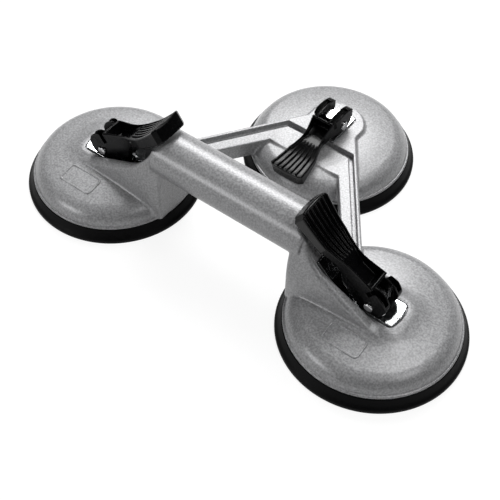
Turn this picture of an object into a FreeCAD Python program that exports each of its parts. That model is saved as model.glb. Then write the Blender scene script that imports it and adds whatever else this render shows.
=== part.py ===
"""Floor tile suction lifter: three vacuum cups under one cast body, a bar handle and three cam levers.

The document holds one casting and three cup sets (left, right, rear). Each cup set is drawn once in
its own local frame: the cup's axis is Z, the lever's thumb end points along +X, and the pivot pin
lies along Y. A station (place and turn) then carries the set to its cup.

All lengths are millimetres, +Z is up, and the cups' sealing lips rest on Z = 0.
"""
import FreeCAD, Part
import math
import os
import re

import Sketcher
from FreeCAD import Placement, Rotation, Vector

SIZES = {
    # layout of the three cups
    "cup_spacing": 204.6,        # left cup to right cup
    "cup_setback": 105.0,        # handle line to rear cup
    # domed shell of the casting
    "shell_radius": 54.5,
    "shell_wall": 3.5,
    "rim_height": 8.5,           # underside of the shell's rim
    "rim_edge": 2.0,             # upright edge of the rim
    "rim_ledge": 1.2,            # how far the rim stands out from the shoulder
    "shoulder_round": 10.2,
    "crown_height": 24.5,
    "hub_radius": 9.5,
    "hub_base": 17.0,
    # handle
    "grip_radius": 15.8,
    "grip_height": 54.7,         # handle axis
    "grip_wall": 4.0,
    "grip_slot": 14.0,           # open strip along the underside
    # neck between handle and dome
    "neck_reach": 53.8,          # cup axis to the wall that faces the hand gap
    "neck_wall": 3.5,
    "neck_half_low": 20.0,
    "neck_half_high": 12.4,
    "neck_shelf": 23.4,          # height where the neck's sides start to lean in
    "neck_taper": 3.0,           # corner taken off each side of the wall
    "neck_taper_run": 9.0,
    "ridge_nose": 12.7,          # how far the ridges run past the cup axis
    "ridge_knee_reach": 29.9,
    "ridge_knee_height": 43.0,
    "ridge_top_reach": 46.0,
    "ridge_top_height": 64.0,
    "ridge_round": 40.0,
    "channel_half": 11.6,
    "notch_knee_reach": 43.8,    # the notch that clears the stowed lever
    "notch_knee_height": 61.0,
    "notch_end_reach": 57.6,
    "notch_end_height": 72.6,
    # yoke: the two arms and the rear pad
    "yoke_top": 26.0,
    "yoke_base": 11.0,
    "yoke_wall": 3.0,
    "yoke_skin": 8.6,            # from the top down to the hollow
    "arm_width": 12.6,
    "arm_foot_reach": 83.0,      # outer corner of an arm's foot, from the centre line
    "arm_foot_back": 16.5,       # the same corner, behind the handle line
    "pad_half": 19.2,
    "pad_shoulder": 1.5,         # arm's start, behind the rear cup axis
    "pad_side": 11.0,
    "pad_reach": 25.5,
    "web_front": 32.0,
    "groove_front": 12.3,
    "flange_drop": 2.0,
    "groove_width": 3.0,
    "groove_depth": 4.0,
    "edge_rib": 2.4,
    # boss round a front wear plate
    "boss_top": 26.4,
    "boss_half": 12.8,
    "boss_nose": 20.5,
    "boss_tail": 8.0,
    "boss_corner": 5.0,
    "boss_drop": 5.0,
    "boss_slope": 68.0,          # degrees from upright
    # wear plates
    "plate_top": 27.0,
    "plate_thick": 1.5,
    "plate_half": 9.5,
    "plate_nose": 17.5,
    "plate_corner": 15.5,
    "plate_flat": 6.3,
    "plate_bend": 25.0,
    "plate_lift": 45.0,          # degrees
    "plate_run": 17.4,
    "rear_plate_tail": 11.5,
    "seat_gap": 0.3,
    # stud, backing plate, pin
    "stud_radius": 5.0,
    "bore_gap": 0.08,
    "eye_thick": 7.6,
    "eye_height": 4.8,
    "backing_radius": 31.0,
    "backing_base": 8.2,
    "backing_thick": 2.2,
    "backing_gap": 0.3,
    "flat_depth": 11.5,          # from the pin down to where the stud's flats begin
    "pin_radius": 3.0,
    "pin_half": 11.2,
    "pin_height": 33.0,
    "pin_gap": 0.05,
    "pin_chamfer": 0.6,
    # levers
    "cam_gap": 0.3,
    "cam_lift": 5.0,
    "cam_travel": 90.0,          # degrees
    "cam_heel": 6.5,
    "fork_half": 9.7,
    "slot_half": 4.2,
    "crotch_reach": 8.0,
    "crotch_height": 11.5,
    "front_length": 69.0,
    "front_rest": 35.0,          # degrees above level
    "front_tip_height": 4.5,
    "rear_length": 54.0,
    "rear_rest": -17.0,
    "rear_tip_height": 7.0,
    "wrist_half": 8.2,
    "waist_half": 7.0,
    "flare_half": 8.6,
    "thumb_half": 10.6,
    "thumb_end_half": 12.4,
    "nose_half": 9.8,
    "wrist_top": 10.3,
    "top_dish": 7.0,
    "thumb_rise": 10.0,
    "thumb_top": 12.5,
    "nose_top": 11.0,
    "end_foot": 2.2,
    "front_belly": -0.8,
    "rear_belly": 1.5,
    "front_keel_reach": 20.0,
    "front_keel_depth": -8.0,
    "rear_keel_reach": 16.0,
    "rear_keel_depth": -1.0,
    "prong_bulge": 2.2,
    "pocket_wall": 1.3,
    "pocket_floor": 6.0,         # above the pin's axis
    "pocket_end": 5.0,
    "trough_floor": 3.5,
    "crotch_wall": 1.6,
    "rib_depth": 1.6,
    # rubber cups
    "rubber_radius": 59.0,
    "rubber_shoulder": 54.2,
    "rubber_seat": 50.5,
    "rubber_skin": 4.2,
    "lip_width": 3.0,
    "lip_edge": 2.4,
    "hollow_depth": 2.2,
    # return springs
    "wire": 1.6,
    "spring_gap": 0.3,
    "spring_top_radius": 12.4,
    "spring_base_radius": 20.0,
    "spring_turns": 2.0,
}
ROUND_OFF = 1e-6

doc = FreeCAD.newDocument("tile_lifter")
sheet = doc.addObject("Spreadsheet::Sheet", "sizes")
for row, (alias, size) in enumerate(SIZES.items(), start=1):
    sheet.set(f"A{row}", alias)
    sheet.set(f"B{row}", str(size))
    sheet.setAlias(f"B{row}", alias)
doc.recompute()


def bind(text):
    """Return an expression whose size names point at the sheet."""
    return re.sub(r"[a-z][a-z_]+", lambda m: "sizes." + m.group() if m.group() in SIZES else m.group(), str(text))


def num(text):
    """Return the value of an expression of size names."""
    value = sheet.evalExpression(bind(text))
    return float(getattr(value, "Value", value))


def unit_name(stem):
    """Return a document name that is not taken yet."""
    count = 1
    while doc.getObject(f"{stem}_{count:02d}"):
        count += 1
    return f"{stem}_{count:02d}"


def new_body(stem):
    """Add an empty PartDesign body."""
    return doc.addObject("PartDesign::Body", unit_name(stem))


def origin_plane(body, role):
    """Return one of the body's own origin planes: XY_Plane, XZ_Plane or YZ_Plane."""
    return next(item for item in body.Origin.OriginFeatures if item.Role == role)


def arc_centre(start, end, radius, bend):
    """Return the centre and radius of the short arc from start to end; bend +1 turns left, -1 right."""
    middle = (start + end) * 0.5
    chord = end - start
    half = chord.Length / 2
    radius = max(radius, half * (1 + ROUND_OFF))
    left = Vector(-chord.y, chord.x, 0).normalize()
    return middle + left * (bend * math.sqrt(radius ** 2 - half ** 2)), radius


def outline(body, role, corners, lift=None):
    """Add a closed sketch through the given corners and bind every size of it to the sheet.

    A corner is (x, y) or (x, y, radius, bend): with a radius, the edge that leaves the corner is an arc.
    Both coordinates are expressions of size names. lift moves the sketch along its plane's normal.
    """
    sketch = body.newObject("Sketcher::SketchObject", unit_name("outline"))
    sketch.AttachmentSupport = [(origin_plane(body, role), "")]
    sketch.MapMode = "FlatFace"
    if lift:
        sketch.setExpression("AttachmentOffset.Base.z", bind(lift))
    spots = [Vector(num(corner[0]), num(corner[1]), 0) for corner in corners]
    edges, rules, bound = [], [], []
    for index, corner in enumerate(corners):
        start, end = spots[index], spots[(index + 1) % len(spots)]
        if len(corner) == 4:
            centre, radius = arc_centre(start, end, num(corner[2]), corner[3])
            first = math.atan2(start.y - centre.y, start.x - centre.x)
            last = math.atan2(end.y - centre.y, end.x - centre.x)
            if corner[3] < 0:
                first, last = last, first
            last += 2 * math.pi if last < first else 0
            edges.append(Part.ArcOfCircle(Part.Circle(centre, Vector(0, 0, 1), radius), first, last))
        else:
            edges.append(Part.LineSegment(start, end))

    def ends(index):
        """Return the point numbers of the edge's start and end; a right-hand arc is stored reversed."""
        turned = len(corners[index]) == 4 and corners[index][3] < 0
        return (2, 1) if turned else (1, 2)

    for index, corner in enumerate(corners):
        after = (index + 1) % len(corners)
        rules.append(Sketcher.Constraint("Coincident", index, ends(index)[1], after, ends(after)[0]))
        for axis, text, size in (("DistanceX", corner[0], spots[index].x), ("DistanceY", corner[1], spots[index].y)):
            bound.append((len(rules), text))
            rules.append(Sketcher.Constraint(axis, -1, 1, index, ends(index)[0], size))
        if len(corner) == 4:
            bound.append((len(rules), corner[2]))
            rules.append(Sketcher.Constraint("Radius", index, edges[index].Radius))
    sketch.addGeometry(edges)
    sketch.addConstraint(rules)
    for number, text in bound:
        sketch.setExpression(f"Constraints[{number}]", bind(text))
    return sketch


def place(item, station=None, height="0"):
    """Put an object at a cup's station (or on the centre line) and at a height, by expression."""
    across, along, turn = STATIONS[station] if station else ("0", "0", 0)
    item.Placement = Placement(Vector(0, 0, 0), Rotation(Vector(0, 0, 1), turn))
    item.setExpression("Placement.Base.x", bind(across))
    item.setExpression("Placement.Base.y", bind(along))
    item.setExpression("Placement.Base.z", bind(height))
    return item


def pad(body, sketch, length, both_sides=False, down=False, taper=None):
    """Pad a sketch of the body."""
    feature = body.newObject("PartDesign::Pad", unit_name("pad"))
    feature.Profile = sketch
    feature.Midplane = both_sides
    feature.Reversed = down
    feature.setExpression("Length", bind(length))
    if taper:
        feature.setExpression("TaperAngle", bind(taper))
    return feature


def slab(corners, bottom, length, down=False, taper=None):
    """Return a body padded upwards from a flat outline at the height bottom."""
    body = new_body("slab")
    pad(body, outline(body, "XY_Plane", corners, lift=bottom), length, down=down, taper=taper)
    return body


def side_slab(corners, width, role="XZ_Plane"):
    """Return a body padded both ways from an upright outline."""
    body = new_body("side")
    pad(body, outline(body, role, corners), width, both_sides=True)
    return body


def turned(corners):
    """Return a body revolved about Z from an outline of (radius, height) corners."""
    body = new_body("turned")
    sketch = outline(body, "XZ_Plane", corners)
    spin = body.newObject("PartDesign::Revolution", unit_name("spin"))
    spin.Profile = sketch
    spin.ReferenceAxis = (sketch, ["V_Axis"])
    spin.Angle = 360
    return body


def cylinder(radius, bottom, height):
    """Return an upright cylinder on the local Z axis."""
    item = doc.addObject("Part::Cylinder", unit_name("cylinder"))
    item.setExpression("Radius", bind(radius))
    item.setExpression("Height", bind(height))
    item.setExpression("Placement.Base.z", bind(bottom))
    return item


def rod(radius, half_length, axis):
    """Return a cylinder along X or Y, centred on the origin."""
    item = doc.addObject("Part::Cylinder", unit_name("rod"))
    item.setExpression("Radius", bind(radius))
    item.setExpression("Height", bind(f"2 * {half_length}"))
    along_x = axis == "X"
    item.Placement.Rotation = Rotation(Vector(0, 1, 0), 90) if along_x else Rotation(Vector(1, 0, 0), -90)
    item.setExpression("Placement.Base.x" if along_x else "Placement.Base.y", bind(f"-({half_length})"))
    return item


def joined(kind, *items):
    """Return the fusion (Part::MultiFuse) or the overlap (Part::MultiCommon) of the items."""
    item = doc.addObject(kind, unit_name("joined"))
    item.Shapes = list(items)
    return item


def fused(*items):
    """Return the items as one solid."""
    return joined("Part::MultiFuse", *items)


def common(*items):
    """Return what the items share."""
    return joined("Part::MultiCommon", *items)


def cut(base, *tools):
    """Return the base without the tools."""
    item = doc.addObject("Part::Cut", unit_name("cut"))
    item.Base = base
    item.Tool = tools[0] if len(tools) == 1 else fused(*tools)
    return item


# Each station: place of the cup axis, and the turn that points the lever at the handle.
STATIONS = {
    "left": ("-cup_spacing / 2", "-cup_setback / 2", 0),
    "right": ("cup_spacing / 2", "-cup_setback / 2", 180),
    "rear": ("0", "cup_setback / 2", -90),
}
FRONT = ("left", "right")

# ---------------------------------------------------------------- casting
# The dome is two tangent arcs: a shoulder that starts upright on the rim, and a wide crown.
SHOULDER_REACH = "(shell_radius - rim_ledge - shoulder_round)"
SHOULDER_HEIGHT = "(rim_height + rim_edge)"
SHOULDER_DROP = f"({SHOULDER_HEIGHT} - crown_height)"
CROWN_ROUND = (f"((shoulder_round^2 - {SHOULDER_REACH}^2 - {SHOULDER_DROP}^2)"
               f" / (2 * ({SHOULDER_DROP} + shoulder_round)))")


def crown(inset):
    """Return the corner where the crown starts, and the one where it meets the shoulder."""
    share = f"(({CROWN_ROUND} - {inset}) / ({CROWN_ROUND} - shoulder_round))"
    meet_height = f"crown_height - {CROWN_ROUND} + {share} * ({SHOULDER_DROP} + {CROWN_ROUND})"
    return [("0", f"crown_height - {inset}", f"{CROWN_ROUND} - {inset}", -1),
            (f"{share} * {SHOULDER_REACH}", meet_height)]


def dome():
    """Return a dome's outer solid: crown, tangent shoulder, and a rim that stands out a little."""
    top, meet = crown("0")
    return turned([
        top, meet + ("shoulder_round", -1), ("shell_radius - rim_ledge", SHOULDER_HEIGHT),
        ("shell_radius", SHOULDER_HEIGHT), ("shell_radius", "rim_height"), ("0", "rim_height")])


def dome_cavity():
    """Return the space under a dome, with a straight shoulder."""
    top, meet = crown("shell_wall")
    reach = "shell_radius - shell_wall"
    return turned([top, meet, (reach, SHOULDER_HEIGHT), (reach, "rim_height - 1"),
                   ("0", "rim_height - 1")])


def bent_line(offset, run="plate_run"):
    """Return the front plate's bent line, moved down by offset, from its bend to its far end."""
    height = f"(plate_top + plate_bend - (plate_bend + {offset}) * cos(plate_lift))"
    reach = f"(plate_flat + (plate_bend + {offset}) * sin(plate_lift))"
    return [
        ("plate_flat", f"plate_top - ({offset})", f"plate_bend + {offset}", 1),
        (reach, height),
        (f"{reach} + {run} * cos(plate_lift)", f"{height} + {run} * sin(plate_lift)"),
    ]


def neck_sides(inset):
    """Return a slab as wide as a neck, leaning in above the shelf, moved inwards by inset."""
    return side_slab(mirrored([
        (f"neck_half_low - {inset}", "0"),
        (f"neck_half_low - {inset}", f"neck_shelf - {inset} / 2"),
        (f"neck_half_high - {inset}", "ridge_top_height")]), "4 * neck_reach", role="YZ_Plane")


def neck_plan(inset):
    """Return an upright prism with the neck's two tapered corners, moved inwards by inset."""
    start = "neck_reach - neck_taper_run"
    corners = [("-ridge_nose", "-neck_half_low"), (start, "-neck_half_low"),
               ("neck_reach", f"neck_taper + {inset} - neck_half_low")]
    return slab(corners + [(x, f"-({y})") for x, y in reversed(corners)], "0", "2 * grip_height")


def neck(station):
    """Return the block that carries one end of the handle on its dome."""
    block = side_slab([
        ("-ridge_nose", "rim_height"), ("neck_reach", "rim_height"),
        ("neck_reach", "ridge_top_height"),
        ("ridge_top_reach", "ridge_top_height", "ridge_round", -1),
        ("ridge_knee_reach", "ridge_knee_height"), ("-ridge_nose", "neck_shelf")],
        "4 * neck_half_low")
    return place(common(block, neck_sides("0"), neck_plan("0")), station)


def neck_hollow(station):
    """Return the open space under a neck, one wall inside its outline."""
    bend, turn_end, run_end = bent_line("plate_thick + neck_wall")
    roof = "notch_knee_height - neck_wall"
    side = side_slab([
        ("plate_flat", "rim_height - 1"), bend, turn_end, run_end,
        ("notch_knee_reach + neck_wall", roof), ("neck_reach - neck_wall", roof),
        ("neck_reach - neck_wall", "rim_height - 1")], "4 * neck_half_low")
    return place(common(side, neck_sides("neck_wall"), neck_plan("neck_wall")), station)


def channel(station):
    """Return the open channel along the top of a neck, up to the notch in the handle."""
    far = "-2 * ridge_nose"
    floor = bent_line("plate_top - boss_top")
    return place(side_slab([(far, "boss_top")] + floor + [
        ("notch_knee_reach", "notch_knee_height"), ("notch_end_reach", "notch_end_height"),
        ("notch_end_reach", "2 * grip_height"), (far, "2 * grip_height")],
        "2 * channel_half"), station)


def boss(station):
    """Return the flat-topped boss round a front wear plate, with flared sides."""
    corner = "boss_nose - boss_corner"
    edge = [("boss_tail", "-boss_half"), ("boss_tail", "boss_half"),
            (f"-({corner})", "boss_half"), ("-boss_nose", "boss_half - boss_corner"),
            ("-boss_nose", "boss_corner - boss_half"), (f"-({corner})", "-boss_half")]
    return place(slab(edge, "boss_top", "boss_drop", down=True, taper="boss_slope"), station)


def front_strip(half_width, gap, drop, depth):
    """Return the front wear plate's solid: a bent strip between two depths, with a curved nose."""
    top, bottom = bent_line(drop), bent_line(depth)
    tail = f"-(plate_nose + {gap})"
    reverse_bend = (bottom[1][0], bottom[1][1], bottom[0][2], -1)
    side = side_slab([(tail, f"plate_top - ({drop})")] + top + [
        bottom[2], reverse_bend, bottom[0][:2], (tail, f"plate_top - ({depth})")],
        "4 * plate_half")
    return common(side, strip_plan(half_width, gap, f"({bottom[2][0]} + plate_thick)"))


def strip_plan(half_width, gap, tail):
    """Return an upright prism with a wear plate's plan: curved at the nose, square at the tail."""
    # The nose arc is shallow: it rises from the corners to the nose over half the strip's width.
    rise = "(plate_nose - plate_corner)"
    nose_round = f"(({half_width})^2 + {rise}^2) / (2 * {rise})"
    return slab([
        (tail, f"-({half_width})"), (tail, half_width),
        (f"-(plate_corner + {gap})", half_width, nose_round, 1),
        (f"-(plate_corner + {gap})", f"-({half_width})")], "0", "2 * grip_height")


def flat_strip(half_width, gap, bottom, top):
    """Return the rear wear plate's solid: flat, from the height bottom to the height top."""
    layer = side_slab([
        (f"-(plate_nose + {gap})", bottom), (f"rear_plate_tail + {gap}", bottom),
        (f"rear_plate_tail + {gap}", top), (f"-(plate_nose + {gap})", top)], "4 * plate_half")
    return common(layer, strip_plan(half_width, gap, f"(rear_plate_tail + {gap})"))


def mirrored(corners):
    """Return outline corners plus their mirror images across x = 0, in walking order."""
    return corners + [(f"-({corner[0]})", corner[1]) for corner in reversed(corners)]


# The arm's outer line runs from its foot to its shoulder on the rear pad; a point on a line moved
# inwards by a distance needs the line's direction.
FOOT_X = "arm_foot_reach"
FOOT_Y = "(arm_foot_back - cup_setback / 2)"
SHOULDER_X = "pad_half"
SHOULDER_Y = "(cup_setback / 2 + pad_shoulder)"
RUN_X = f"({FOOT_X} - {SHOULDER_X})"
RUN_Y = f"({SHOULDER_Y} - {FOOT_Y})"
RUN = f"sqrt({RUN_X}^2 + {RUN_Y}^2)"


def arm_x(distance, y):
    """Return x, at y, on the arm's outer line moved inwards by a distance."""
    return f"({FOOT_X} - ({distance}) * {RUN} / {RUN_Y} - (({y}) - {FOOT_Y}) * {RUN_X} / {RUN_Y})"


def yoke_edge(inset):
    """Return the outline of the arms and rear pad moved inwards by inset, right foot first."""
    web = f"(cup_setback / 2 - web_front + ({inset}))"
    inner = f"arm_width - ({inset})"
    tip = f"(cup_setback / 2 + pad_reach - ({inset}))"
    side = f"(cup_setback / 2 + pad_side - ({inset}) / 2)"
    half = f"(pad_half - ({inset}))"
    shoulder = f"({SHOULDER_Y} - ({inset}) * ({RUN} - {RUN_Y}) / {RUN_X})"
    rise = f"({tip} - {side})"
    nose = f"(({half}^2 + {rise}^2) / (2 * {rise}))"
    right = [(arm_x(inset, FOOT_Y), FOOT_Y), (half, shoulder), (half, side, nose, 1)]
    left = [(f"-{half}", side), (f"-{half}", shoulder), (f"-{arm_x(inset, FOOT_Y)}", FOOT_Y)]
    inside = [(arm_x(inner, FOOT_Y), FOOT_Y), (arm_x(inner, web), web)]
    return right + left + [(f"-{x}", y) for x, y in inside] + list(reversed(inside))


def yoke():
    """Return the arms and the rear pad, hollow from below, with the lower flange inside."""
    block = slab(yoke_edge("0"), "yoke_base", "yoke_top - yoke_base")
    hollow = slab(yoke_edge("yoke_wall"), "yoke_base - 1", "yoke_top - yoke_skin - yoke_base + 1")
    start = "edge_rib + groove_width"
    front = "(cup_setback / 2 - groove_front - groove_width)"
    below = f"({FOOT_Y} - 1)"
    flange = slab(mirrored([(arm_x(start, below), below), (arm_x(start, front), front)]),
                  "yoke_top - flange_drop", "2 * flange_drop")
    return cut(block, hollow, flange)


def groove():
    """Return the groove inside the edge rib: along both arms and across the pad's front."""
    foot = "(neck_half_low - cup_setback / 2)"
    back = "(cup_setback / 2 - groove_front)"
    front = f"({back} - groove_width)"
    end = "edge_rib + groove_width"
    outer = [(arm_x("edge_rib", foot), foot), (arm_x("edge_rib", back), back)]
    inner = [(arm_x(end, foot), foot), (arm_x(end, front), front)]
    edge = outer + [(f"-{x}", y) for x, y in reversed(outer)]
    edge += [(f"-{x}", y) for x, y in inner] + list(reversed(inner))
    return slab(edge, "yoke_top - groove_depth", "2 * groove_depth")


def casting():
    """Return the one-piece casting: domes, necks, handle and yoke."""
    handle = rod("grip_radius", "(cup_spacing / 2 - ridge_top_reach)", "X")
    handle.setExpression("Placement.Base.y", bind("-cup_setback / 2"))
    handle.setExpression("Placement.Base.z", bind("grip_height"))
    solids = [handle, yoke()]
    solids += [place(dome(), station) for station in STATIONS]
    solids += [make(station) for make in (neck, boss) for station in FRONT]
    grip_half = "(cup_spacing / 2 - neck_reach - grip_wall / 2)"
    bore = rod("grip_radius - grip_wall", grip_half, "X")
    slot = side_slab([
        (f"-{grip_half}", "-grip_radius"), (grip_half, "-grip_radius"),
        (grip_half, "0"), (f"-{grip_half}", "0")], "grip_slot")
    grip_hollow = fused(bore, slot)
    grip_hollow.setExpression("Placement.Base.y", bind("-cup_setback / 2"))
    grip_hollow.setExpression("Placement.Base.z", bind("grip_height"))
    hollows = [grip_hollow]
    hollows += [place(dome_cavity(), station) for station in STATIONS]
    hollows += [neck_hollow(station) for station in FRONT]
    shell = cut(fused(*solids), *hollows)
    hubs = [place(cylinder("hub_radius", "hub_base", "crown_height - shell_wall / 2 - hub_base"),
                  station, "hub_base") for station in STATIONS]
    seat = "plate_half + seat_gap"
    recesses = [place(front_strip(seat, "seat_gap", "-plate_thick", "plate_thick"), station)
                for station in FRONT]
    recesses += [channel(station) for station in FRONT]
    recesses.append(place(flat_strip(seat, "seat_gap", "plate_top - plate_thick", "2 * plate_top"),
                          "rear"))
    recesses += [place(cylinder("stud_radius + bore_gap", "0", "2 * grip_height"), station)
                 for station in STATIONS]
    return cut(fused(shell, *hubs), groove(), *recesses)


# ---------------------------------------------------------------- cup sets
def rubber_cup(station):
    """Return the rubber cup: a disc with a lip that stands on the tile."""
    return place(turned([
        ("0", "backing_base - backing_gap - rubber_skin"),
        ("rubber_seat - lip_width", "hollow_depth"),
        ("rubber_radius - lip_width", "0"),
        ("rubber_radius", "0"),
        ("rubber_radius", "lip_edge"),
        ("rubber_shoulder", "rim_height"),
        ("rubber_seat", "rim_height"),
        ("rubber_seat", "backing_base - backing_gap"),
        ("0", "backing_base - backing_gap"),
    ]), station)


def wear_plate(station):
    """Return the bright strip that the lever's cam slides on, with the stud's hole."""
    hole = cylinder("stud_radius + seat_gap", "0", "2 * plate_top")
    if station == "rear":
        strip = flat_strip("plate_half", "0", "plate_top - plate_thick", "plate_top")
    else:
        strip = front_strip("plate_half", "0", "0", "plate_thick")
    return place(cut(strip, hole), station)


def draw_stud(station):
    """Return the stud: round in the hub, flat-sided above, with the pin's hole."""
    top = "pin_height + eye_height"
    shank = cylinder("stud_radius", "backing_base", f"{top} - backing_base")
    flats_from = "pin_height - flat_depth"
    cheeks = []
    for side in (1, -1):
        near, far = f"{side} * eye_thick / 2", f"{side} * 2 * stud_radius"
        cheeks.append(slab([
            ("-2 * stud_radius", near), ("2 * stud_radius", near),
            ("2 * stud_radius", far), ("-2 * stud_radius", far)], flats_from, "2 * flat_depth"))
    hole = rod("pin_radius", "(2 * stud_radius)", "Y")
    hole.setExpression("Placement.Base.z", bind("pin_height"))
    return place(cut(shank, hole, *cheeks), station)


def backing_plate(station):
    """Return the disc that carries the rubber, pressed on the foot of the stud."""
    disc = cylinder("backing_radius", "backing_base", "backing_thick")
    return place(cut(disc, cylinder("stud_radius", "0", "2 * backing_base")), station)


def pivot_pin(station):
    """Return the lever's pin, chamfered at both ends, lying across the cup's axis."""
    body = new_body("pin")
    end = "pin_radius - pin_chamfer"
    sketch = outline(body, "YZ_Plane", [
        ("-pin_half", "0"), ("pin_half", "0"), ("pin_half", end),
        ("pin_half - pin_chamfer", "pin_radius"), ("pin_chamfer - pin_half", "pin_radius"),
        ("-pin_half", end)])
    spin = body.newObject("PartDesign::Revolution", unit_name("spin"))
    spin.Profile = sketch
    spin.ReferenceAxis = (sketch, ["H_Axis"])
    spin.Angle = 360
    return place(body, station, "pin_height")


def return_spring(station):
    """Return the conical spring, wound from flat wire, between backing plate and dome."""
    body = new_body("spring")
    bottom = "(backing_base + backing_thick + spring_gap)"
    roof = "(crown_height - shell_wall - spring_top_radius^2 / (2 * (" + CROWN_ROUND + " - shell_wall)))"
    height = f"({roof} - spring_gap - wire - {bottom})"
    sketch = outline(body, "XZ_Plane", [
        ("spring_base_radius - wire", bottom), ("spring_base_radius", bottom),
        ("spring_base_radius", f"{bottom} + wire"),
        ("spring_base_radius - wire", f"{bottom} + wire")])
    coil = body.newObject("PartDesign::AdditiveHelix", unit_name("coil"))
    coil.Profile = sketch
    coil.ReferenceAxis = (sketch, ["V_Axis"])
    coil.Mode = 3
    coil.setExpression("Height", bind(height))
    coil.setExpression("Turns", bind("spring_turns"))
    coil.setExpression("Growth", bind("(spring_top_radius - spring_base_radius) / spring_turns"))
    return place(body, station)


# ---------------------------------------------------------------- levers
# A lever's lines: share of the way from its crotch to its thumb end, and distance from the pin.
TOP_LINE = ((0, "crotch_height"), (0.10, "wrist_top"), (0.36, "top_dish"), (0.61, "top_dish"),
            (0.85, "thumb_rise"), (0.975, "thumb_top"))
FLANK_LINE = ((-0.13, "fork_half"), (0.03, "wrist_half"), (0.26, "waist_half"),
              (0.43, "flare_half"), (0.57, "thumb_half"), (0.94, "thumb_end_half"))
BELLY_SHARES = (0.61, 0.36)
NOSE_SHARE = 0.985
TROUGH_SHARES = (0.24, 0.40)     # where its floor ends, and where its ramp reaches the ribs
RIB_COUNT = 5
RIB_SHARE = 0.10                 # rib width, of the lever's half width there
RIM_SHARE = 0.14
CAM_POINTS = 10


def lever(station):
    """Return a cam lever, lying as stowed, its pin bore on the cup's axis.

    The side view has u along the lever and v across it, both from the pin. The two front levers
    are alike, so each shape is made once.
    """
    side = "rear" if station == "rear" else "front"
    if side not in lever_shapes:
        lever_shapes[side] = lever_shape(side)
    item = doc.addObject("Part::Feature", unit_name("lever"))
    item.Shape = lever_shapes[side]
    return place(item, station, "pin_height")


lever_shapes = {}


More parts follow.
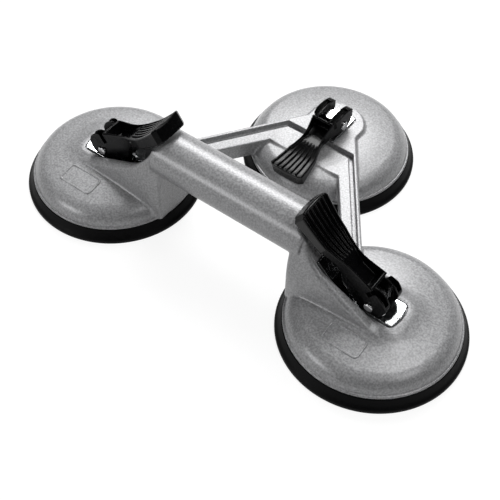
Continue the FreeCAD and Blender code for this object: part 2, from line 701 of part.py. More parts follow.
def lever_shape(side):
    """Return the solid of a front or rear lever, with its pin at the origin.

    Its sides follow FLANK_LINE and its top follows TOP_LINE. Behind the fork comes a trough
    between the two flanks, and the thumb pad carries ribs that fan out with the flanks.
    """
    tilt = num(f"{side}_rest")
    length, crotch = num(f"{side}_length"), num("crotch_reach")
    fork, high, back = num("fork_half"), num("2 * thumb_top"), num("-2 * fork_half")

    def reach(share):
        """Return the distance from the pin at a share of the way to the thumb end."""
        return crotch + share * (length - crotch)

    def upright(corners):
        """Return side-view points (u, v) as places in the cup's XZ plane."""
        turn = Rotation(Vector(0, 1, 0), -tilt)
        return [turn.multVec(Vector(u, 0, v)) for u, v in corners]

    def top_line(drop, first=0):
        """Return the top line, moved down, from its corner number first."""
        return upright([(reach(share), num(height) - drop) for share, height in TOP_LINE[first:]])

    def side_solid(*edges):
        """Return the side view inside the edges, wider than the lever."""
        width = 4 * num("thumb_end_half")
        solid = Part.Face(Part.Wire(edges)).extrude(Vector(0, width, 0))
        solid.translate(Vector(0, -width / 2, 0))
        return solid

    def plan_solid(*edges):
        """Return the plan inside the edges as a prism across the lever's line."""
        solid = Part.Face(Part.Wire(edges)).extrude(Vector(0, 0, 2 * length))
        solid.translate(Vector(0, 0, -length))
        solid.rotate(Vector(0, 0, 0), Vector(0, 1, 0), -tilt)
        return solid

    def flank(ratio):
        """Return the flank's line at a ratio of its half width, fork first."""
        return [Vector(reach(share), ratio * num(half), 0) for share, half in FLANK_LINE]

    def strip(low, high):
        """Return the prism between two such lines."""
        near, far = flank(low), flank(high)
        return plan_solid(
            curve_through(near[:-1]), *segments([near[-2], near[-1], far[-1], far[-2]]),
            curve_through(far[-2::-1]), *segments([far[0], near[0]]))

    cam = cam_curve()
    tip = Vector(cam[-1].x, 0, num(f"{side}_tip_height"))
    top = top_line(0)
    across = (top[0] - tip).normalize()
    bulge = (tip + top[0]) * 0.5 + Vector(-across.z, 0, across.x) * num("prong_bulge")
    nose = [top[-1]] + upright([(length, num("nose_top")), (length, num("end_foot"))])
    belly = num(f"{side}_belly")
    keel = (num(f"{side}_keel_reach"), num(f"{side}_keel_depth"))
    under = upright([(reach(share), belly) for share in BELLY_SHARES] + [keel])
    heel = [under[-1], Vector(num("cam_heel"), 0, cam[0].z), cam[0]]
    block = side_solid(
        curve_through(cam), *segments([cam[-1], tip]), Part.Arc(tip, bulge, top[0]).toShape(),
        curve_through(top), *segments(nose + under[:1]), curve_through(under), *segments(heel))

    left, right = flank(1), flank(-1)
    corners = [Vector(reach(NOSE_SHARE), turn * num("nose_half"), 0) for turn in (1, -1)]
    band = plan_solid(
        curve_through(left[:-1]), *segments([left[-2], left[-1], corners[0]]),
        Part.Arc(corners[0], Vector(length, 0, 0), corners[1]).toShape(),
        *segments([corners[1], right[-1], right[-2]]), curve_through(right[-2::-1]),
        *segments([right[0], Vector(back, -fork, 0), Vector(back, fork, 0), left[0]]))

    floor = num("trough_floor")
    ramp = [(crotch + num("crotch_wall"), floor), (reach(TROUGH_SHARES[0]), floor),
            (reach(TROUGH_SHARES[1]), num("top_dish - rib_depth")),
            (reach(TROUGH_SHARES[1]), high), (crotch + num("crotch_wall"), high)]
    trough = side_solid(*segments(upright(ramp + ramp[:1])))
    sunk = top_line(num("rib_depth"), first=2)
    lid = upright([(reach(TOP_LINE[-1][0]), high), (reach(TOP_LINE[2][0]), high)])
    layer = side_solid(curve_through(sunk), *segments([sunk[-1], *lid, sunk[0]]))
    pitch = 2 * (1 - RIM_SHARE) / (RIB_COUNT + 1)
    tools = [trough.common(strip(RIM_SHARE - 1, 1 - RIM_SHARE))]
    for number in range(RIB_COUNT + 1):
        start = RIM_SHARE - 1 + number * pitch + (RIB_SHARE / 2 if number else 0)
        end = RIM_SHARE - 1 + (number + 1) * pitch - (RIB_SHARE / 2 if number < RIB_COUNT else 0)
        tools.append(layer.common(strip(start, end)))

    slot, wall = num("slot_half"), num("pocket_wall")
    recesses = [(back, crotch, -slot, slot, -length),
                (-num("pocket_end"), num("pocket_end"), slot + wall, fork - wall, num("pocket_floor")),
                (-num("pocket_end"), num("pocket_end"), wall - fork, -slot - wall, num("pocket_floor"))]
    for start, end, low, top_side, bottom in recesses:
        box = Part.makeBox(end - start, top_side - low, 2 * length, Vector(start, low, bottom))
        box.rotate(Vector(0, 0, 0), Vector(0, 1, 0), -tilt)
        tools.append(box)
    tools.append(Part.makeCylinder(
        num("pin_radius + pin_gap"), 4 * fork, Vector(0, -2 * fork, 0), Vector(0, 1, 0)))
    shape = block.common(band)
    for tool in tools:
        shape = shape.cut(tool)
    return shape.removeSplitter()


def cam_curve():
    """Return the cam's line from its resting point to its far end, in the cup's XZ plane.

    Its reach below the pin grows evenly with the turn, by cam_lift over cam_travel.
    """
    low = num("pin_height - plate_top - cam_gap")
    travel = math.radians(num("cam_travel"))
    rate = num("cam_lift") / travel
    cam = []
    for step in range(CAM_POINTS):
        turn = travel * step / (CAM_POINTS - 1)
        radius = low + rate * turn
        cam.append(Vector(-radius * math.sin(turn) - rate * math.cos(turn), 0,
                          rate * math.sin(turn) - radius * math.cos(turn)))
    return cam


def curve_through(points):
    """Return a smooth edge through the points."""
    curve = Part.BSplineCurve()
    curve.interpolate(points)
    return curve.toShape()


def segments(points):
    """Return straight edges from point to point."""
    return [Part.LineSegment(a, b).toShape() for a, b in zip(points, points[1:])]


# ---------------------------------------------------------------- build and export
PIECES = (rubber_cup, wear_plate, draw_stud, backing_plate, pivot_pin, lever, return_spring)


def build():
    """Return every named piece as a dictionary of node name to document object."""
    pieces = {"body_casting": casting()}
    for station in STATIONS:
        for make in PIECES:
            pieces[f"{station}_{make.__name__}"] = make(station)
    doc.recompute()
    return pieces


def export(pieces):
    """Check every object and write one STEP file for each piece."""
    troubled = [item.Name for item in doc.Objects if {"Invalid", "Error"} & set(item.State)]
    if troubled:
        raise RuntimeError(f"objects that did not build: {troubled}")
    os.makedirs("parts", exist_ok=True)
    for name, item in pieces.items():
        item.Label = name
        shape = item.Shape
        if shape.isNull() or not shape.isValid() or len(shape.Solids) != 1:
            raise RuntimeError(f"{name} is not one valid solid")
        shape.exportStep(f"parts/{name}.step")


export(build())
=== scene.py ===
"""Looks of a three-cup floor tile lifter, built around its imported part.

Sizes are in millimetres and turned into metres when a mesh is made. A cup's own frame has s
from the cup's axis towards the thumb end of its lever, w across, and z up from the floor.
Every method that takes coordinates and is called a distance gives the distance to a solid's
surface, negative inside.
"""

import logging
import math
from collections.abc import Callable, Sequence
from dataclasses import dataclass
from enum import Enum

import bpy
import numpy as np
from mathutils import Matrix, Vector


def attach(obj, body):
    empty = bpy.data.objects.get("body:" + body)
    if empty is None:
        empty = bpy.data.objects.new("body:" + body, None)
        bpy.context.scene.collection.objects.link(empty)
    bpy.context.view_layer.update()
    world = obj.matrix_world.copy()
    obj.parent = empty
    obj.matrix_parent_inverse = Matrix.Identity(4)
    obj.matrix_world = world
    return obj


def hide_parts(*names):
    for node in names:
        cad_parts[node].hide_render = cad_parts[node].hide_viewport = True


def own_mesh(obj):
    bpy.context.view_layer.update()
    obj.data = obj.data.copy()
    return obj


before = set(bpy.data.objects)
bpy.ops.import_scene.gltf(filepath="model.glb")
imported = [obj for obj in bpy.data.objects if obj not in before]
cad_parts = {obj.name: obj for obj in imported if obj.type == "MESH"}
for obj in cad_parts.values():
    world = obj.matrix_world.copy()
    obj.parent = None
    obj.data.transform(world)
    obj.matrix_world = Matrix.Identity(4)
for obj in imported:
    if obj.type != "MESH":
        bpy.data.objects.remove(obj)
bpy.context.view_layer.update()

LOG = logging.getLogger("tile_lifter")
MM = 0.001

CUP_X = 102.3
CUP_Y = 52.5
PIN_HEIGHT = 33.0
EDGE_SHARE = 0.45
ARC_STEPS = 10
CURVE_STEPS = 8
CORNER_STEPS = 6
LEAST_SLOPE = 0.2
TINY = 1e-9

Array = np.ndarray
Solid = Callable[[Array, Array, Array], Array]
Point = tuple[float, float]
Triple = tuple[float, float, float]


# ---- distance fields
def meet(a: Array, b: Array, radius: float = 0.0) -> Array:
    """Overlap of two solids with a rounded edge.

    The distance is that of the nearer rule, and where both are within the radius of the edge
    it is the length of the pair of leftovers, which rounds the edge.

    Args:
        a: Distance to the first solid, negative inside.
        b: Distance to the second solid.
        radius: Edge radius.

    Returns:
        Distance to the overlap.
    """
    if radius <= 0:
        return np.maximum(a, b)
    corner = np.hypot(np.maximum(a + radius, 0), np.maximum(b + radius, 0))
    return np.minimum(np.maximum(a, b), -radius) + corner


def merge(a: Array, b: Array, radius: float = 0.0) -> Array:
    """Union of two solids, taken as meet takes them, with a fillet where they join."""
    return -meet(-a, -b, radius)


def carve(a: Array, b: Array, radius: float = 0.0) -> Array:
    """First solid without the second, taken as meet takes them, its new edges rounded."""
    return meet(a, -b, radius)


def polygon(x: Array, y: Array, corners: Sequence[Point]) -> Array:
    """Distance to a flat outline.

    The distance is to the nearest point of the nearest edge. The sign flips once for each edge
    that a ray from the point crosses.

    Args:
        x, y: Coordinates of the points.
        corners: Outline corners in walking order.

    Returns:
        Distance, negative inside.
    """
    nearest = np.full(np.broadcast(x, y).shape, np.inf, dtype=np.float32)
    inside = np.zeros(nearest.shape, dtype=bool)
    for (ax, ay), (bx, by) in zip(corners, [*corners[1:], corners[0]]):
        ex, ey = bx - ax, by - ay
        px, py = x - ax, y - ay
        share = np.clip((px * ex + py * ey) / (ex * ex + ey * ey), 0, 1)
        nearest = np.minimum(nearest, (px - ex * share) ** 2 + (py - ey * share) ** 2)
        crosses = (ay > y) != (by > y)
        if ey:
            inside ^= crosses & (px < ex * py / ey)
    return np.where(inside, -1, 1) * np.sqrt(nearest)


def box(x: Array, y: Array, half_x: float, half_y: float, corner: float = 0.0) -> Array:
    """Distance to a flat rectangle round the origin, with round corners.

    Args:
        x, y: Coordinates of the points.
        half_x, half_y: Half the size along each.
        corner: Corner radius.

    Returns:
        Distance, negative inside.
    """
    dx = np.abs(x) - half_x + corner
    dy = np.abs(y) - half_y + corner
    outside = np.hypot(np.maximum(dx, 0), np.maximum(dy, 0))
    return outside + np.minimum(np.maximum(dx, dy), 0) - corner


def arc(start: Point, end: Point, radius: float) -> list[Point]:
    """Points of the short arc between two points.

    The centre stands off the chord's middle by the square root of radius squared less half
    chord squared, to the left of the chord for a positive radius.

    Args:
        start: First point.
        end: Last point.
        radius: Arc radius, negative to bend the other way.

    Returns:
        The points, both ends included.
    """
    a, b = np.array(start, float), np.array(end, float)
    chord = b - a
    half = np.linalg.norm(chord) / 2
    side = np.array([-chord[1], chord[0]]) / (2 * half) * math.copysign(1, radius)
    centre = (a + b) / 2 + side * math.sqrt(radius * radius - half * half)
    first, last = (math.atan2(p[1] - centre[1], p[0] - centre[0]) for p in (a, b))
    turn = (last - first + math.pi) % (2 * math.pi) - math.pi
    angles = first + turn * np.linspace(0, 1, ARC_STEPS + 1)
    return [(centre[0] + abs(radius) * math.cos(t), centre[1] + abs(radius) * math.sin(t))
            for t in angles]


# ---- meshes
@dataclass
class Skin:
    """A closed mesh: corner places, faces and outward directions."""

    points: Array
    faces: Array
    normals: Array | None = None

    def placed(self, turn: Matrix) -> "Skin":
        """Return the skin moved and turned by a matrix in millimetres."""
        rows = np.array(turn)
        normals = None if self.normals is None else self.normals @ rows[:3, :3].T
        return Skin(self.points @ rows[:3, :3].T + rows[:3, 3], self.faces, normals)

    def piece(self, name: str, finish: bpy.types.Material) -> bpy.types.Object:
        """Turn the skin into a Blender object at the origin.

        Args:
            name: Object name.
            finish: Material of the whole piece.

        Returns:
            The new object.
        """
        mesh = bpy.data.meshes.new(name)
        mesh.from_pydata(self.points * MM, [], self.faces)
        mesh.validate()
        mesh.polygons.foreach_set("use_smooth", np.ones(len(mesh.polygons), dtype=bool))
        if self.normals is not None and len(mesh.vertices) == len(self.normals):
            mesh.normals_split_custom_set_from_vertices(self.normals)
        mesh.materials.append(finish)
        item = bpy.data.objects.new(name, mesh)
        bpy.context.scene.collection.objects.link(item)
        LOG.info("%s: %d faces", name, len(mesh.polygons))
        return item


def slope(solid: Solid, points: Array, reach: float = 0.05) -> tuple[Array, Array]:
    """Distance and its gradient, by central differences.

    Args:
        solid: Distance field.
        points: Places, one row each.
        reach: Half the difference's width.

    Returns:
        Distances, and one gradient row for each place.
    """
    parts = []
    for axis in range(3):
        step = np.zeros(3)
        step[axis] = reach
        parts.append((solid(*(points + step).T) - solid(*(points - step).T)) / (2 * reach))
    return solid(*points.T), np.stack(parts, axis=1)


def skin_of(solid: Solid, low: Sequence[float], high: Sequence[float], step: float,
            owned: Solid | None = None) -> Skin:
    """Wrap the zero surface of a distance field in a mesh.

    Each grid cell that the surface crosses gets one corner, at the mean of the crossings on
    the cell's edges, and each crossed grid edge gets one face through its four cells. The
    corners are then moved along the gradient by distance over gradient, twice. Every grid
    starts at a whole number of steps, so two skins of one field agree where they meet.

    Args:
        solid: Distance field, negative inside.
        low: Lowest corner of the searched box.
        high: Highest corner of the searched box.
        step: Cell size.
        owned: Rule that is true where this skin keeps its faces; the whole box if left out.

    Returns:
        The skin, closed unless a rule opens it where its neighbour carries on.
    """
    spans = [np.arange(math.floor(a / step) - 1, math.ceil(b / step) + 2)
             for a, b in zip(low, high)]
    axes = [(span * np.float64(step)).astype(np.float32) for span in spans]
    values = np.asarray(solid(*np.meshgrid(*axes, indexing="ij", sparse=True)), dtype=np.float32)
    inside = values < 0
    cells = tuple(size - 1 for size in values.shape)
    total = np.zeros((*cells, 3), dtype=np.float32)
    count = np.zeros(cells, dtype=np.float32)
    crossings = []
    for axis in range(3):
        lower = tuple(slice(None, -1) if a == axis else slice(None) for a in range(3))
        upper = tuple(slice(1, None) if a == axis else slice(None) for a in range(3))
        crossed = inside[lower] != inside[upper]
        crossings.append((crossed, inside[lower]))
        share = values[lower] / np.where(crossed, values[lower] - values[upper], 1)
        others = [a for a in range(3) if a != axis]
        for first in (0, 1):
            for second in (0, 1):
                pick = [slice(None)] * 3
                pick[others[0]] = slice(first, first + cells[others[0]])
                pick[others[1]] = slice(second, second + cells[others[1]])
                here = crossed[tuple(pick)]
                count += here
                total[..., axis] += np.where(here, share[tuple(pick)], 0)
                total[..., others[0]] += first * here
                total[..., others[1]] += second * here
    used = count > 0
    number = np.cumsum(used.ravel()).reshape(cells) - 1
    where = np.argwhere(used)
    points = (where + total[used] / count[used][:, None]) * step + [a[0] for a in axes]
    faces = []
    for axis, (crossed, first_inside) in enumerate(crossings):
        b, c = (axis + 1) % 3, (axis + 2) % 3
        spots = np.argwhere(crossed)
        spots = spots[(spots[:, b] > 0) & (spots[:, c] > 0)
                      & (spots[:, b] < cells[b]) & (spots[:, c] < cells[c])]
        if owned:
            spots = spots[owned(*(axes[a][spots[:, a]] for a in range(3)))]
        ring = []
        for back_b, back_c in ((1, 1), (0, 1), (0, 0), (1, 0)):
            cell = spots.copy()
            cell[:, b] -= back_b
            cell[:, c] -= back_c
            ring.append(number[tuple(cell.T)])
        quad = np.stack(ring, axis=1)
        flip = ~first_inside[tuple(spots.T)]
        quad[flip] = quad[flip][:, ::-1]
        faces.append(quad)
    kept, index = np.unique(np.concatenate(faces), return_inverse=True)
    points = points[kept].astype(np.float64)
    for _ in range(2):
        gap, steep = slope(solid, points)
        length = np.maximum((steep ** 2).sum(axis=1), LEAST_SLOPE)
        move = -gap[:, None] * steep / length[:, None]
        points += np.clip(move, -step / 2, step / 2)
    _, steep = slope(solid, points)
    normals = steep / np.maximum(np.linalg.norm(steep, axis=1, keepdims=True), TINY)
    return Skin(points, index.reshape(-1, 4), normals)


def lattice(rows: int, columns: int, closed: bool = False) -> Array:
    """Faces between rows of points, where each row is a ring.

    Args:
        rows: Number of rings.
        columns: Points in a ring.
        closed: True to join the last ring to the first.

    Returns:
        One row of four point numbers for each face.
    """
    row, column = np.meshgrid(np.arange(rows if closed else rows - 1), np.arange(columns),
                              indexing="ij")
    here, there, after = row * columns, (row + 1) % rows * columns, (column + 1) % columns
    return np.stack([here + column, here + after, there + after, there + column],
                    axis=-1).reshape(-1, 4)


def turned(profile: Sequence[Point], sides: int) -> Skin:
    """Revolve a profile about Z; a point at turn t is (radius cos t, radius sin t, height).

    Args:
        profile: (radius, height) points from one pole to the other, outside to the right.
        sides: Steps round the circle.

    Returns:
        The closed skin, with one corner at each pole.
    """
    rings = np.array(profile[1:-1], float)
    turn = np.linspace(0, 2 * np.pi, sides, endpoint=False)
    grid = np.stack([rings[:, :1] * np.cos(turn), rings[:, :1] * np.sin(turn),
                     np.broadcast_to(rings[:, 1:], (len(rings), sides))], axis=-1)
    poles = np.array([[0, 0, profile[0][1]], [0, 0, profile[-1][1]]], float)
    points = np.concatenate([grid.reshape(-1, 3), poles])
    last, here = (len(rings) - 1) * sides, np.arange(sides)
    there = (here + 1) % sides
    south, north = len(points) - 2, len(points) - 1
    caps = np.concatenate([
        np.stack([there, here, np.full(sides, south)], axis=1),
        np.stack([last + here, last + there, np.full(sides, north)], axis=1)])
    return Skin(points, lattice(len(rings), sides).tolist() + caps.tolist())


def softened(profile: Sequence[Triple]) -> list[Point]:
    """Round the corners of an open profile.

    A corner with radius r is replaced by the curve start (1-t)^2 + 2 corner t(1-t) + end t^2
    between the points r before and r after it.

    Args:
        profile: (radius, height, corner radius) points.

    Returns:
        (radius, height) points.
    """
    spots = np.array([p[:2] for p in profile], float)
    out = [tuple(spots[0])]
    for (*_, size), back, here, ahead in zip(profile[1:], spots, spots[1:], spots[2:]):
        before, after = back - here, ahead - here
        long_before, long_after = np.linalg.norm(before), np.linalg.norm(after)
        reach = min(size, EDGE_SHARE * long_before, EDGE_SHARE * long_after)
        if reach <= 0:
            out.append(tuple(here))
            continue
        start = here + before / long_before * reach
        end = here + after / long_after * reach
        for t in np.linspace(0, 1, CORNER_STEPS):
            out.append(tuple(start * (1 - t) ** 2 + 2 * here * t * (1 - t) + end * t ** 2))
    return [*out, tuple(spots[-1])]


# ---- finishes
def shader(name: str) -> tuple[bpy.types.Material, bpy.types.NodeTree, bpy.types.Node]:
    """Return a new node material, its tree and its principled shader."""
    made = bpy.data.materials.new(name)
    made.use_nodes = True
    return made, made.node_tree, made.node_tree.nodes["Principled BSDF"]


def fill(node: bpy.types.Node, values: dict[str, float | tuple]) -> None:
    """Set plain values on a node's sockets, by socket name."""
    for socket, value in values.items():
        node.inputs[socket].default_value = value


@dataclass(frozen=True)
class Finish:
    """One surface finish: plain values plus a fine noise that breaks up gloss and colour."""

    name: str
    colour: Triple
    metallic: float = 0.0
    roughness: float = 0.5
    grain: float = 900.0
    grain_bump: float = 0.0
    speckle: float = 0.0
    gloss_spread: float = 0.0
    specular: float = 0.5
    spot_ends: Point = (0.36, 0.66)
    gloss_ends: Point = (0.3, 0.7)
    fine_share: float = 1.7
    bump_depth: float = 0.0004

    def material(self) -> bpy.types.Material:
        """Build the finish once and return it.

        Returns:
            The material: colour and roughness each follow a noise on Object coordinates, and a
            second, finer noise drives the bump.
        """
        known = bpy.data.materials.get(self.name)
        if known:
            return known
        made, tree, body = shader(self.name)
        link = tree.links.new
        fill(body, {"Metallic": self.metallic, "Specular IOR Level": self.specular})
        place = tree.nodes.new("ShaderNodeTexCoord")
        noise = tree.nodes.new("ShaderNodeTexNoise")
        fill(noise, {"Scale": self.grain, "Detail": 2.0})
        link(place.outputs["Object"], noise.inputs["Vector"])
        tint = tree.nodes.new("ShaderNodeValToRGB")
        shares = (1 - self.speckle, 1 + self.speckle)
        for element, spot, share in zip(tint.color_ramp.elements, self.spot_ends, shares):
            element.position = spot
            element.color = (*(min(1.0, c * share) for c in self.colour), 1)
        link(noise.outputs["Fac"], tint.inputs["Fac"])
        link(tint.outputs["Color"], body.inputs["Base Color"])
        spread = tree.nodes.new("ShaderNodeMapRange")
        low, high = self.gloss_ends
        fill(spread, {"From Min": low, "From Max": high,
                      "To Min": self.roughness - self.gloss_spread,
                      "To Max": self.roughness + self.gloss_spread})
        link(noise.outputs["Fac"], spread.inputs["Value"])
        link(spread.outputs["Result"], body.inputs["Roughness"])
        if self.grain_bump:
            fine = tree.nodes.new("ShaderNodeTexNoise")
            fill(fine, {"Scale": self.grain * self.fine_share, "Detail": 3.0})
            bump = tree.nodes.new("ShaderNodeBump")
            fill(bump, {"Strength": self.grain_bump, "Distance": self.bump_depth})
            link(place.outputs["Object"], fine.inputs["Vector"])
            link(fine.outputs["Fac"], bump.inputs["Height"])
            link(bump.outputs["Normal"], body.inputs["Normal"])
        return made


CASTING_PAINT = Finish("speckled_silver_paint", (0.38, 0.381, 0.389), metallic=0.15,
                       roughness=0.36, grain=850, grain_bump=0.07, speckle=0.24,
                       gloss_spread=0.04)
BLACK_RUBBER = Finish("matte_black_rubber", (0.003, 0.003, 0.0033), roughness=0.50, grain=500,
                      speckle=0.2, gloss_spread=0.06, specular=0.08)
BLACK_PLASTIC = Finish("glossy_black_plastic", (0.0015, 0.0015, 0.0018), roughness=0.24, grain=600,
                       grain_bump=0.05, speckle=0.1, gloss_spread=0.04, specular=0.2)
CHROME = Finish("polished_chrome", (0.80, 0.81, 0.82), metallic=1.0, roughness=0.12, grain=300,
                gloss_spread=0.03, speckle=0.02)
BRIGHT_STEEL = Finish("turned_steel", (0.66, 0.66, 0.67), metallic=1.0, roughness=0.24,
                      grain=500, gloss_spread=0.05, speckle=0.04)
ZINC_STEEL = Finish("zinc_plating", (0.56, 0.57, 0.56), metallic=1.0, roughness=0.40, grain=160,
                    gloss_spread=0.08, speckle=0.06)
SPRING_STEEL = Finish("drawn_wire", (0.32, 0.32, 0.33), metallic=1.0, roughness=0.35,
                      grain=400, gloss_spread=0.05, speckle=0.05)


# ---- stations
class Station(Enum):
    """Where a cup stands: its axis in millimetres, and the turn of its own frame."""

    LEFT = (-CUP_X, -CUP_Y, 0)
    RIGHT = (CUP_X, -CUP_Y, 180)
    REAR = (0.0, CUP_Y, -90)

    @property
    def word(self) -> str:
        """The station's name in node names."""
        return self.name.lower()

    def matrix(self, height: float = 0.0) -> Matrix:
        """Return the move from the cup's own frame to the part's frame."""
        x, y, turn = self.value
        return Matrix.Translation((x, y, height)) @ Matrix.Rotation(math.radians(turn), 4, "Z")


# ---- wear plates
@dataclass
class WearPlate:
    """The bright strip under a lever's cam: flat, or bent up at the handle end."""

    station: Station
    top: float = 27.0
    thick: float = 1.5
    half: float = 9.5
    nose: float = 17.5
    nose_round: float = 24.0
    flat_end: float = 6.3
    bend: float = 25.0
    lift: float = math.radians(45)
    run: float = 17.4
    rear_tail: float = 11.5
    front_ends: Point = (38.5, 49.0)
    stud_hole: float = 5.3
    step: float = 0.4

    def depth(self, s: Array, z: Array) -> Array:
        """Height above the plate's top face, measured square to it.

        Returns:
            z less top on the flat; bend radius less distance from the bend's centre on the
            bend; height across the tangent line past the bend.
        """
        flat = z - self.top
        if self.station is Station.REAR:
            return flat
        across, down = s - self.flat_end, self.top + self.bend - z
        turn = np.arctan2(across, down)
        end_s, end_z = self.bend_end()
        straight = (z - end_z) * math.cos(self.lift) - (s - end_s) * math.sin(self.lift)
        curved = self.bend - np.hypot(across, down)
        return np.where(across <= 0, flat, np.where(turn < self.lift, curved, straight))

    def bend_end(self) -> Point:
        """Return where the bend ends, as s and z."""
        return (self.flat_end + self.bend * math.sin(self.lift),
                self.top + self.bend - self.bend * math.cos(self.lift))

    def plan(self, s: Array, w: Array, z: Array) -> Array:
        """Distance to the plate's outline seen along its thickness.

        Returns:
            Distance: the sides, the far end, and a nose that is a circle's front.
        """
        sides = np.abs(w) - self.half
        if self.station is Station.REAR:
            far = s - self.rear_tail
        else:
            end_s, end_z = self.bend_end()
            far = ((s - end_s) * math.cos(self.lift) + (z - end_z) * math.sin(self.lift)
                   - self.run)
        front = np.hypot(s - (self.nose_round - self.nose), w) - self.nose_round
        front = np.where(s > 0, -self.nose, front)
        return meet(meet(sides, far, 0.6), front, 1.2)

    def solid(self, s: Array, w: Array, z: Array) -> Array:
        """Distance to the plate, with its edges slightly rounded and the stud's hole cut."""
        depth = self.depth(s, z)
        sheet = meet(depth, -depth - self.thick, 0.3)
        hole = np.hypot(s, w) - self.stud_hole
        return carve(meet(sheet, self.plan(s, w, z), 0.35), hole, 0.2)

    def build(self) -> None:
        """Build the plate, ride it on the frame, and hide the plain one."""
        end, high = self.front_ends
        if self.station is Station.REAR:
            end, high = self.rear_tail, self.top + 1
        skin = skin_of(self.solid, (-self.nose - 1, -self.half - 1, self.top - 2),
                       (end + 1, self.half + 1, high), self.step)
        dress(skin.placed(self.station.matrix()), f"{self.station.word}_wear_plate", CHROME,
              "frame")


def dress(skin: Skin, node: str, finish: Finish, body: str) -> bpy.types.Object:
    """Show a finished piece in place of a plain node.

    Args:
        skin: The finished mesh, in the part's frame.
        node: Node that the piece stands for; it names the piece too.
        finish: Surface finish.
        body: Moving body that the piece rides on.

    Returns:
        The new object.
    """
    item = skin.piece(f"{node}_finished", finish.material())
    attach(item, body)
    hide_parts(node)
    return item


# ---- casting
RIDGE = [(-12.7, 23.4), *arc((29.9, 43.0), (46.0, 64.0), 40.0)]
YOKE = [(83.0, -36.0), (19.2, 54.0), (19.2, 63.5), *arc((19.2, 63.5), (-19.2, 63.5), 20.0)[1:],
        (-19.2, 54.0), (-83.0, -36.0), (-68.4, -36.0), (-27.5, 20.5), (27.5, 20.5),
        (68.4, -36.0)]


